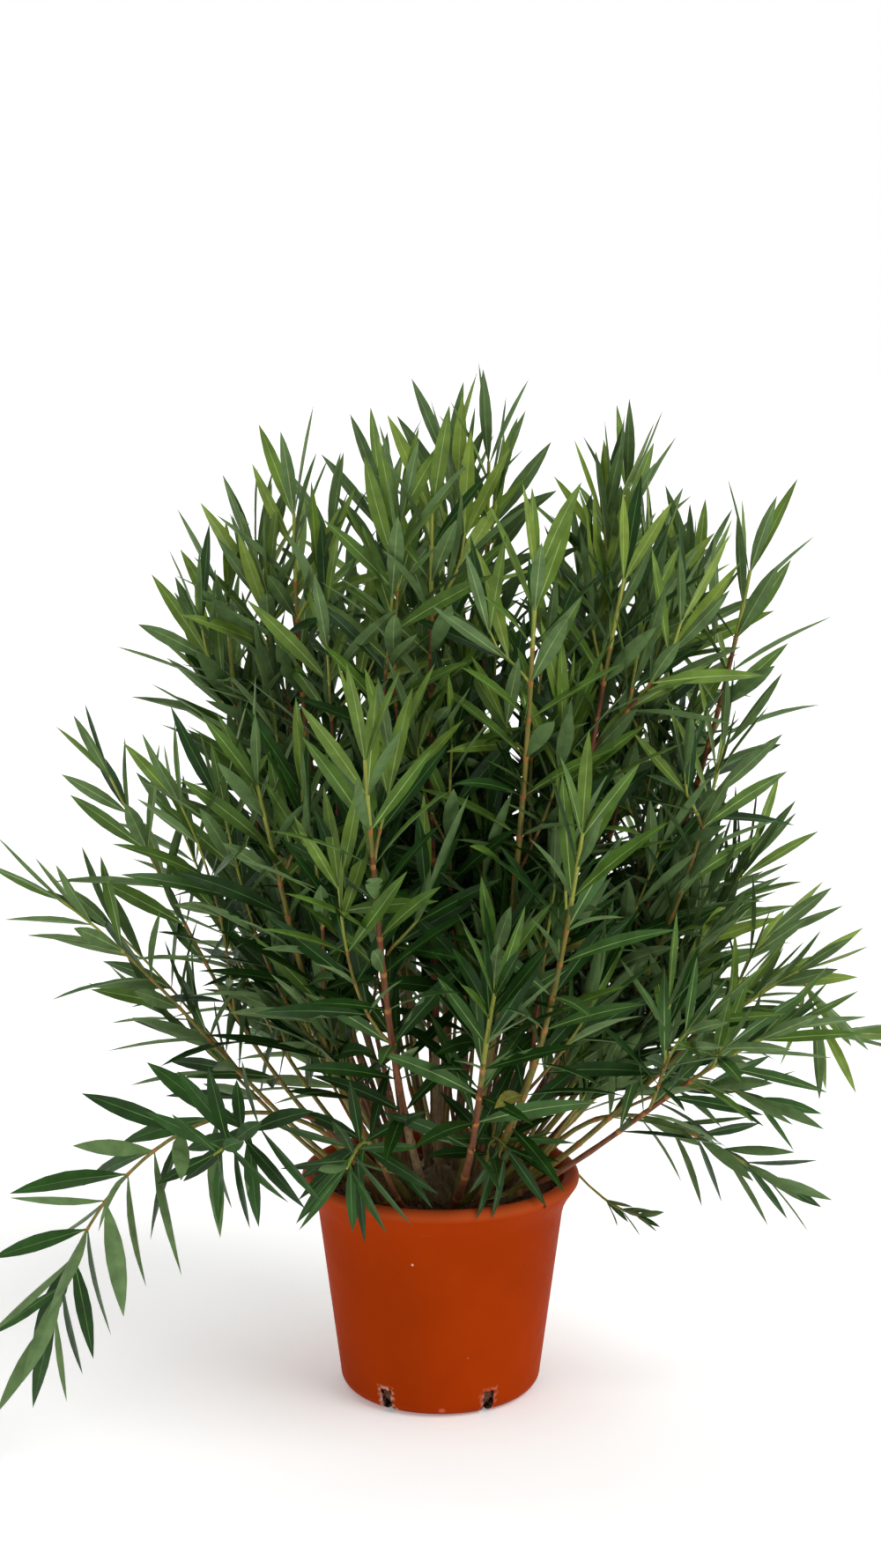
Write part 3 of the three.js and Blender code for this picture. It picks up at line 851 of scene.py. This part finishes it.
class Finish:
    """A material under construction: its nodes and how they are wired."""

    def __init__(self, name):
        self.material = bpy.data.materials.new(name)
        self.material.use_nodes = True
        self.nodes = self.material.node_tree.nodes
        self.links = self.material.node_tree.links
        self.shader = self.nodes["Principled BSDF"]
        self.place = self.nodes.new("ShaderNodeTexCoord").outputs["Object"]

    def wire(self, source, target):
        self.links.new(source, target)

    def stretched(self, scale, offset=(0, 0, 0)):
        mapping = self.nodes.new("ShaderNodeMapping")
        mapping.inputs["Scale"].default_value = scale
        mapping.inputs["Location"].default_value = offset
        self.wire(self.place, mapping.inputs["Vector"])
        return mapping.outputs["Vector"]

    def speckle(self, scale, detail=4, roughness=0.55, vector=None):
        grain = self.nodes.new("ShaderNodeTexNoise")
        grain.inputs["Scale"].default_value = scale
        grain.inputs["Detail"].default_value = detail
        grain.inputs["Roughness"].default_value = roughness
        self.wire(vector or self.place, grain.inputs["Vector"])
        return grain.outputs["Fac"]

    def ranged(self, value, low, high, to_low=0.0, to_high=1.0):
        node = self.nodes.new("ShaderNodeMapRange")
        node.inputs["From Min"].default_value = low
        node.inputs["From Max"].default_value = high
        node.inputs["To Min"].default_value = to_low
        node.inputs["To Max"].default_value = to_high
        self.wire(value, node.inputs["Value"])
        return node.outputs["Result"]

    def ramp(self, value, *stops):
        node = self.nodes.new("ShaderNodeValToRGB")
        bar = node.color_ramp.elements
        while len(bar) < len(stops):
            bar.new(1.0)
        for element, (position, colour) in zip(bar, stops):
            element.position = position
            element.color = colour
        self.wire(value, node.inputs["Fac"])
        return node.outputs["Color"]

    def mixed(self, factor, first, second):
        node = self.nodes.new("ShaderNodeMix")
        node.data_type = "RGBA"
        self.wire(factor, node.inputs["Factor"])
        for source, target in ((first, node.inputs[6]), (second, node.inputs[7])):
            if isinstance(source, tuple):
                target.default_value = source
            else:
                self.wire(source, target)
        return node.outputs[2]

    def maths(self, operation, first, second):
        node = self.nodes.new("ShaderNodeMath")
        node.operation = operation
        for source, target in ((first, node.inputs[0]), (second, node.inputs[1])):
            if isinstance(source, (int, float)):
                target.default_value = source
            else:
                self.wire(source, target)
        return node.outputs["Value"]

    def along(self, direction):
        node = self.nodes.new("ShaderNodeVectorMath")
        node.operation = "DOT_PRODUCT"
        self.wire(self.place, node.inputs[0])
        node.inputs[1].default_value = direction
        return node.outputs["Value"]

    def distance(self, spot):
        node = self.nodes.new("ShaderNodeVectorMath")
        node.operation = "DISTANCE"
        self.wire(self.place, node.inputs[0])
        node.inputs[1].default_value = spot
        return node.outputs["Value"]

    def relief(self, height, strength, depth):
        bump = self.nodes.new("ShaderNodeBump")
        bump.inputs["Strength"].default_value = strength
        bump.inputs["Distance"].default_value = depth
        self.wire(height, bump.inputs["Height"])
        self.wire(bump.outputs["Normal"], self.shader.inputs["Normal"])

    def colour(self, source):
        self.wire(source, self.shader.inputs["Base Color"])

    def gloss(self, value, low, high):
        self.wire(self.ranged(value, 0.3, 0.7, low, high), self.shader.inputs["Roughness"])


def scaled(colour, factor):
    return tuple(channel * factor for channel in colour[:3]) + (1,)


# A leathery leaf surface: slightly uneven colour and gloss, fine relief.
def leaf_finish(name, colour, low, high):
    finish = Finish(name)
    patches = finish.speckle(38, 3)
    finish.colour(finish.ramp(patches, (0.3, scaled(colour, 0.74)), (0.7, scaled(colour, 1.22))))
    finish.gloss(finish.speckle(120, 2), low, high)
    finish.relief(finish.speckle(420, 3), 0.25, 0.001)
    finish.shader.inputs["IOR"].default_value = 1.32
    return finish.material


def leaf_finishes():
    # Painted shade and light: the tints from shade to young are darker and lighter steps of one green.
    colours = {
        "shade": linear(27, 60, 13),
        "deep": linear(40, 79, 22),
        "cool": linear(60, 95, 42),
        "mid": linear(76, 107, 35),
        "bright": linear(96, 123, 43),
        "young": linear(116, 139, 50),
        "old": linear(126, 122, 50),
    }
    finishes = [leaf_finish(f"leaf_{tint}", colours[tint], 0.36, 0.55) for tint in TINTS]
    finishes.append(leaf_finish("leaf_rib", linear(148, 168, 104), 0.4, 0.55))
    # Painted shade: a darker rib for the darkest leaves.
    finishes.append(leaf_finish("leaf_painted_shade_rib", linear(88, 122, 60), 0.4, 0.55))
    finishes.append(leaf_finish("leaf_underside", linear(94, 120, 72), 0.55, 0.72))
    return finishes


# Bark with long streaks up the stem and small pale pores.
def bark_finish(name, dark, light, rough):
    finish = Finish(name)
    streaks = finish.speckle(1, 5, 0.6, finish.stretched((160, 160, 26)))
    pores = finish.ranged(finish.speckle(520, 2), 0.66, 0.72)
    skin = finish.ramp(streaks, (0.3, dark), (0.7, light))
    finish.colour(finish.mixed(pores, skin, scaled(light, 1.5)))
    finish.gloss(streaks, rough - 0.12, rough + 0.08)
    finish.relief(streaks, 0.6, 0.002)
    return finish.material


def bark_finishes():
    return [
        bark_finish("bark_grey", linear(78, 60, 38), linear(142, 118, 80), 0.85),
        bark_finish("bark_red", linear(92, 50, 27), linear(136, 82, 45), 0.7),
        bark_finish("bark_olive", linear(98, 90, 34), linear(148, 134, 58), 0.6),
        bark_finish("bark_green", linear(132, 142, 50), linear(172, 174, 74), 0.5),
        bark_finish("bark_scar", linear(140, 86, 36), linear(186, 124, 58), 0.7),
    ]


def compost_finish(name, dark, light):
    finish = Finish(name)
    grains = finish.speckle(150, 6, 0.7)
    finish.colour(finish.ramp(grains, (0.36, dark), (0.64, light)))
    finish.gloss(grains, 0.88, 1.0)
    finish.relief(finish.speckle(420, 4), 0.8, 0.003)
    return finish.material


def slot_angle(index):
    return math.radians(SLOT["first_angle"] + index * 360 / SLOT["count"])


# The direction across a drain slot and the one facing it, level with the floor.
def across_slot(index):
    angle = slot_angle(index)
    return -math.sin(angle), math.cos(angle), 0


# Moulded orange plastic with a painted highlight along its lip. Painted shade darkens the insides of its slots,
# and dried water has left chalk round some of them.
def pot_finish():
    finish = Finish("pot_plastic")
    cloud = finish.speckle(7, 3)
    body = finish.ramp(cloud, (0.35, linear(154, 50, 4)), (0.65, linear(163, 54, 5)))
    flecks = finish.ranged(finish.speckle(240, 2), 0.71, 0.76)
    body = finish.mixed(flecks, body, linear(126, 46, 18))
    height = finish.along((0, 0, 1))
    # Painted highlight: the lip turns lighter towards the rim.
    starts, full = POT_TOP - LIP_HIGHLIGHT["starts"], POT_TOP - LIP_HIGHLIGHT["full"]
    lip_highlight = finish.ranged(height, starts, full, 0, LIP_HIGHLIGHT["share"])
    body = finish.mixed(lip_highlight, body, linear(192, 92, 48))
    waver = finish.ranged(finish.speckle(90, 4), 0.2, 0.8, -0.005, 0.005)
    above = finish.maths("SUBTRACT", height, SLOT["height"])
    for index, strength in enumerate(CHALK):
        across = finish.maths("ABSOLUTE", finish.along(across_slot(index)), 0)
        edge = finish.maths("MAXIMUM", finish.maths("SUBTRACT", across, SLOT["width"] / 2), above)
        # Painted shade: the slot's insides and side walls are darkened.
        body = finish.mixed(finish.ranged(edge, 0.0012, 0.0006), body, linear(30, 16, 10))
        edge = finish.maths("ADD", edge, waver)
        ring = finish.maths("MULTIPLY", finish.ranged(edge, 0, 0.0015), finish.ranged(edge, 0.0075, 0.004))
        chalk = finish.maths("MULTIPLY", ring, finish.ranged(finish.speckle(170, 5), 0.42, 0.6, 0, strength))
        body = finish.mixed(chalk, body, linear(206, 168, 150))
    for spot, size, colour in POT_MARKS:
        body = finish.mixed(finish.ranged(finish.distance(spot), size, size * 0.6), body, linear(*colour))
    scuffs = finish.speckle(1, 6, 0.7, finish.stretched((14, 14, 160)))
    body = finish.mixed(finish.ranged(scuffs, 0.68, 0.8, 0, 0.3), body, linear(206, 120, 84))
    finish.colour(body)
    finish.gloss(finish.speckle(60, 4), 0.4, 0.55)
    finish.relief(finish.speckle(300, 3), 0.12, 0.0006)
    finish.shader.inputs["IOR"].default_value = 1.06
    return finish.material


# ---- Pot, compost and rootstock -----------------------------------------------------------------


def arc(centre, radius, start, end, steps):
    angles = [math.radians(between(start, end, i / steps)) for i in range(steps + 1)]
    return [(centre[0] + radius * math.cos(angle), centre[1] + radius * math.sin(angle)) for angle in angles]


def spin_profile(profile, steps):
    shape = bmesh.new()
    points = [shape.verts.new((radius, 0, height)) for radius, height in profile]
    edges = [shape.edges.new(pair) for pair in zip(points, points[1:])]
    bmesh.ops.spin(
        shape, geom=points + edges, cent=(0, 0, 0), axis=(0, 0, 1), dvec=(0, 0, 0),
        angle=2 * math.pi, steps=steps, use_merge=True, use_duplicate=False,
    )
    bmesh.ops.remove_doubles(shape, verts=shape.verts, dist=1e-5)
    bmesh.ops.recalc_face_normals(shape, faces=shape.faces)
    return shape


def wall_radius(height):
    share = (height - POT["heel_round"]) / (POT["neck_height"] - POT["heel_round"])
    return between(POT["heel_radius"], POT["neck_radius"], share)


# One drain slot's cutter, its top ragged.
def slot_cutter(index):
    shape = bmesh.new()
    bmesh.ops.create_cube(shape, size=1)
    bmesh.ops.scale(shape, verts=shape.verts, vec=(POT["heel_round"] * 2.4, SLOT["width"], SLOT["height"] * 2))
    bmesh.ops.translate(shape, verts=shape.verts, vec=(POT["heel_radius"] - POT["heel_round"] / 2, 0, 0))
    bmesh.ops.subdivide_edges(shape, edges=shape.edges[:], cuts=5, use_grid_fill=True)
    for vert in shape.verts:
        if vert.co.z > SLOT["height"] * 0.9:
            elsewhere = Vector((0, 0, index * 7.3))
            vert.co.z += SLOT["ragged"] * noise.noise(vert.co * SLOT["grain"] + elsewhere)
    turn = Matrix.Rotation(slot_angle(index), 3, "Z")
    bmesh.ops.rotate(shape, verts=shape.verts, cent=(0, 0, 0), matrix=turn)
    return to_piece("slot_cutter", shape, [], POT["crease"])


def to_piece(name, shape, looks, crease):
    mesh = bpy.data.meshes.new(name)
    shape.to_mesh(mesh)
    shape.free()
    return dressed(name, mesh, looks, crease)


# The piece with its modifiers applied.
def settle(piece):
    depsgraph = bpy.context.evaluated_depsgraph_get()
    mesh = bpy.data.meshes.new_from_object(piece.evaluated_get(depsgraph))
    piece.modifiers.clear()
    piece.data = mesh
    mesh.name = piece.name
    return mesh


def make_pot():
    foot = POT["heel_radius"] - POT["heel_round"]
    lip = (POT_RADIUS - POT["lip_round"], POT_TOP - POT["lip_round"])
    profile = [
        (0, 0),
        (foot * 0.6, 0),
        *arc((foot, POT["heel_round"]), POT["heel_round"], -90, 0, 10),
        *[(wall_radius(height), height) for height in POT["wall_rings"]],
        (POT["neck_radius"], POT["neck_height"]),
        POT["neck_round"],
        POT["flare"],
        *arc(lip, POT["lip_round"], -40, 165, 16),
        POT["inner_lip"],
        POT["inner_neck"],
        (POT["neck_radius"] - POT["wall"], POT["neck_height"]),
        (POT["heel_radius"] - POT["wall"], POT["heel_round"]),
        (foot, POT["wall"]),
        (0, POT["wall"]),
    ]
    pot = to_piece("pot_shell", spin_profile(profile, POT["steps"]), [pot_finish()], POT["crease"])
    cutters = [slot_cutter(index) for index in range(SLOT["count"])]
    for cutter in cutters:
        cut = pot.modifiers.new(cutter.name, "BOOLEAN")
        cut.operation = "DIFFERENCE"
        cut.solver = "MANIFOLD"
        cut.object = cutter
    mesh = settle(pot)
    while len(mesh.materials) > 1:
        mesh.materials.pop()
    for cutter in cutters:
        bpy.data.objects.remove(cutter)
    crease_edges(mesh, POT["crease"])
    return pot


def make_compost():
    inside = POT["wall"] + COMPOST["gap"]
    foot = POT["heel_radius"] - POT["heel_round"] - COMPOST["gap"]
    bottom = POT["wall"] + 0.0003
    rim = wall_radius(POT["neck_height"]) - inside
    level = COMPOST_TOP - COMPOST["sunk"]
    top = [(rim * share, level) for share in np.linspace(1, 0, COMPOST["rings"] + 1)]
    profile = [
        (0, bottom),
        (foot, bottom),
        (wall_radius(POT["heel_round"]) - inside, POT["heel_round"]),
        (rim, POT["neck_height"]),
        *top,
    ]
    shape = spin_profile(profile, COMPOST["steps"])
    for vert in shape.verts:
        if vert.co.z > level - 0.001:
            spot = Vector((vert.co.x, vert.co.y, 0))
            vert.co.z += sum(noise.noise(spot * fine) * high for fine, high in COMPOST["lumps"])
    look = compost_finish("compost_dark", linear(74, 44, 29), linear(132, 86, 60))
    return to_piece("compost_fill", shape, [look], 60)


# Crumbs of compost, splinters of bark and pale grit lying on it.
def make_crumbs():
    shape = bmesh.new()
    reach = wall_radius(POT["neck_height"]) - CRUMBS["clear"]
    for i in range(CRUMBS["count"]):
        radius = reach * math.sqrt(vary(i, 1))
        angle = 2 * math.pi * vary(i, 2)
        size = CRUMBS["least"] + CRUMBS["more"] * vary(i, 3) ** 2
        made = bmesh.ops.create_icosphere(shape, subdivisions=1, radius=size)["verts"]
        for vert in made:
            vert.co *= 1 + 0.5 * noise.noise(vert.co * 600 + Vector((i, 0, 0)))
        is_fibre = vary(i, 4) < CRUMBS["fibres"]
        if is_fibre:
            thinner = CRUMBS["fibre_width"] / size
            bmesh.ops.scale(shape, verts=made, vec=(thinner, 3.6, thinner))
        tilt = Matrix.Rotation(stray(i, 5, 0.5), 3, "X") @ Matrix.Rotation(2 * math.pi * vary(i, 6), 3, "Z")
        bmesh.ops.rotate(shape, verts=made, cent=(0, 0, 0), matrix=tilt)
        height = COMPOST_TOP - COMPOST["sunk"] + size * 0.3
        spot = (radius * math.cos(angle), radius * math.sin(angle), height)
        bmesh.ops.translate(shape, verts=made, vec=spot)
        slot = 2 if is_fibre else (3 if vary(i, 7) < CRUMBS["grit"] else int(vary(i, 8) * 1.99))
        for face in {face for vert in made for face in vert.link_faces}:
            face.material_index = slot
    looks = [
        compost_finish("crumb_dark", linear(58, 36, 23), linear(98, 64, 42)),
        compost_finish("crumb_brown", linear(84, 54, 35), linear(130, 90, 62)),
        compost_finish("crumb_fibre", linear(110, 82, 54), linear(160, 128, 88)),
        compost_finish("crumb_grit", linear(190, 184, 170), linear(226, 220, 206)),
    ]
    return to_piece("compost_crumbs", shape, looks, 40)


# The gnarled knobs, fused into one lump and furrowed.
def make_rootstock(look):
    shape = bmesh.new()
    for distance, azimuth, radius, height in KNOBS:
        made = bmesh.ops.create_icosphere(shape, subdivisions=4, radius=1)["verts"]
        bmesh.ops.scale(shape, verts=made, vec=(radius, radius, height))
        spot = leaning(azimuth, 90) * distance + UP * COMPOST_TOP
        bmesh.ops.translate(shape, verts=made, vec=spot)
    knob = to_piece("rootstock_burl", shape, [look], 180)
    fuse = knob.modifiers.new("fused", "REMESH")
    fuse.mode = "VOXEL"
    fuse.voxel_size = BURL["cell"]
    settle(knob)
    shape = bmesh.new()
    shape.from_mesh(knob.data)
    for vert in shape.verts:
        spot = vert.co.copy()
        furrow = abs(noise.noise(Vector((spot.x * 70, spot.y * 70, spot.z * 26))))
        lump = noise.noise(spot * 34) * BURL["lump"] - furrow * BURL["furrow"]
        lump += noise.noise(spot * 190) * BURL["grain"]
        vert.co += vert.normal * (lump - BURL["shrink"])
    cut = bmesh.ops.bisect_plane(
        shape, geom=shape.verts[:] + shape.edges[:] + shape.faces[:],
        plane_co=(0, 0, COMPOST_TOP - BURL["buried"]), plane_no=(0, 0, -1), clear_outer=True,
    )
    rim = [edge for edge in cut["geom_cut"] if isinstance(edge, bmesh.types.BMEdge)]
    bmesh.ops.holes_fill(shape, edges=rim)
    shape.to_mesh(knob.data)
    shape.free()
    knob.data.shade_smooth()
    return knob


# ---- Floor, lights and camera -------------------------------------------------------------------


# White card that glows faintly, so that shadows on it stay light.
def make_floor():
    shape = bmesh.new()
    bmesh.ops.create_circle(shape, cap_ends=True, segments=96, radius=FLOOR["radius"])
    finish = Finish("floor_card")
    finish.colour(finish.ramp(finish.speckle(2, 2), (0.3, linear(247, 247, 246)), (0.7, linear(250, 250, 249))))
    finish.gloss(finish.speckle(3, 2), 0.9, 0.95)
    finish.shader.inputs["Emission Color"].default_value = (1, 1, 1, 1)
    finish.shader.inputs["Emission Strength"].default_value = FLOOR["glow"]
    floor = to_piece("floor", shape, [finish.material], 60)


def make_light(name, azimuth, height, softness, power):
    lamp = bpy.data.lights.new(name, "SUN")
    lamp.angle = math.radians(softness)
    lamp.energy = power
    light = bpy.data.objects.new(name, lamp)
    bpy.context.collection.objects.link(light)
    light.rotation_euler = Vector(leaning(azimuth, 90 - height)).to_track_quat("Z", "Y").to_euler()


# A studio that is brightest at floor level and dimmer overhead.
def make_world():
    world = bpy.data.worlds.new("pale_studio")
    world.use_nodes = True
    nodes, links = world.node_tree.nodes, world.node_tree.links
    height = nodes.new("ShaderNodeSeparateXYZ")
    links.new(nodes.new("ShaderNodeTexCoord").outputs["Generated"], height.inputs[0])
    fade = nodes.new("ShaderNodeMapRange")
    for key, value in STUDIO.items():
        fade.inputs[key].default_value = value
    links.new(height.outputs["Z"], fade.inputs["Value"])
    links.new(fade.outputs["Result"], nodes["Background"].inputs["Strength"])
    nodes["Background"].inputs["Color"].default_value = (1, 1, 1, 1)
    bpy.context.scene.world = world


def make_studio():
    make_world()
    for name, setting in LAMPS.items():
        make_light(name, *setting)
    make_floor()
    bpy.context.scene.view_settings.view_transform = "Standard"


def make_camera():
    camera = bpy.data.cameras.new("camera")
    camera.lens = CAMERA["lens"]
    viewer = bpy.data.objects.new("camera", camera)
    bpy.context.collection.objects.link(viewer)
    viewer.location = (0, -CAMERA["distance"], CAMERA["height"])
    viewer.rotation_euler = (math.radians(90 - CAMERA["pitch"]), 0, 0)
    bpy.context.scene.camera = viewer


# ---- The plant ----------------------------------------------------------------------------------


def part_of(index):
    return next(part for part, last in PARTS if index < last)


def grow_plant():
    sprays = {part: [] for part, _ in PARTS}
    for index, row in enumerate(SHOOTS):
        part = part_of(index)
        sprays[part].append((row, grow_shoot(row, index + 1)))
    return sprays


def stand_for(piece, nodes):
    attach(piece, "root")
    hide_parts(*nodes)


def dress_plant():
    barks, leaf_looks = bark_finishes(), leaf_finishes()
    stems = Limbs()
    for part, shoots in grow_plant().items():
        limbs, leaves = Limbs(), []
        for row, twigs in shoots:
            add_leader(stems, limbs, twigs[0])
            for twig in twigs[1:]:
                add_side_twig(limbs, twig)
            for twig in twigs:
                for whorl in range(len(twig["whorls"])):
                    leaves += whorl_leaves(twig, whorl)
        nodes = [f"foliage_{row[0]}" for row, _ in shoots]
        stand_for(make_leaves(f"leaves_{part}", leaves, leaf_looks), nodes)
        stand_for(limbs.build(f"twigs_{part}", barks), nodes)
    boughs = [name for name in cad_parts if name.startswith("bough_")]
    stand_for(stems.build("stems", barks), boughs)
    stand_for(make_rootstock(barks[0]), ["rootstock"])
    dropped = make_leaves("fallen_leaves", fallen_leaves(), leaf_looks)
    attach(dropped, "root")


make_camera()
make_studio()
stand_for(make_pot(), ["pot"])
stand_for(make_compost(), ["compost"])
crumbs = make_crumbs()
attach(crumbs, "root")
dress_plant()
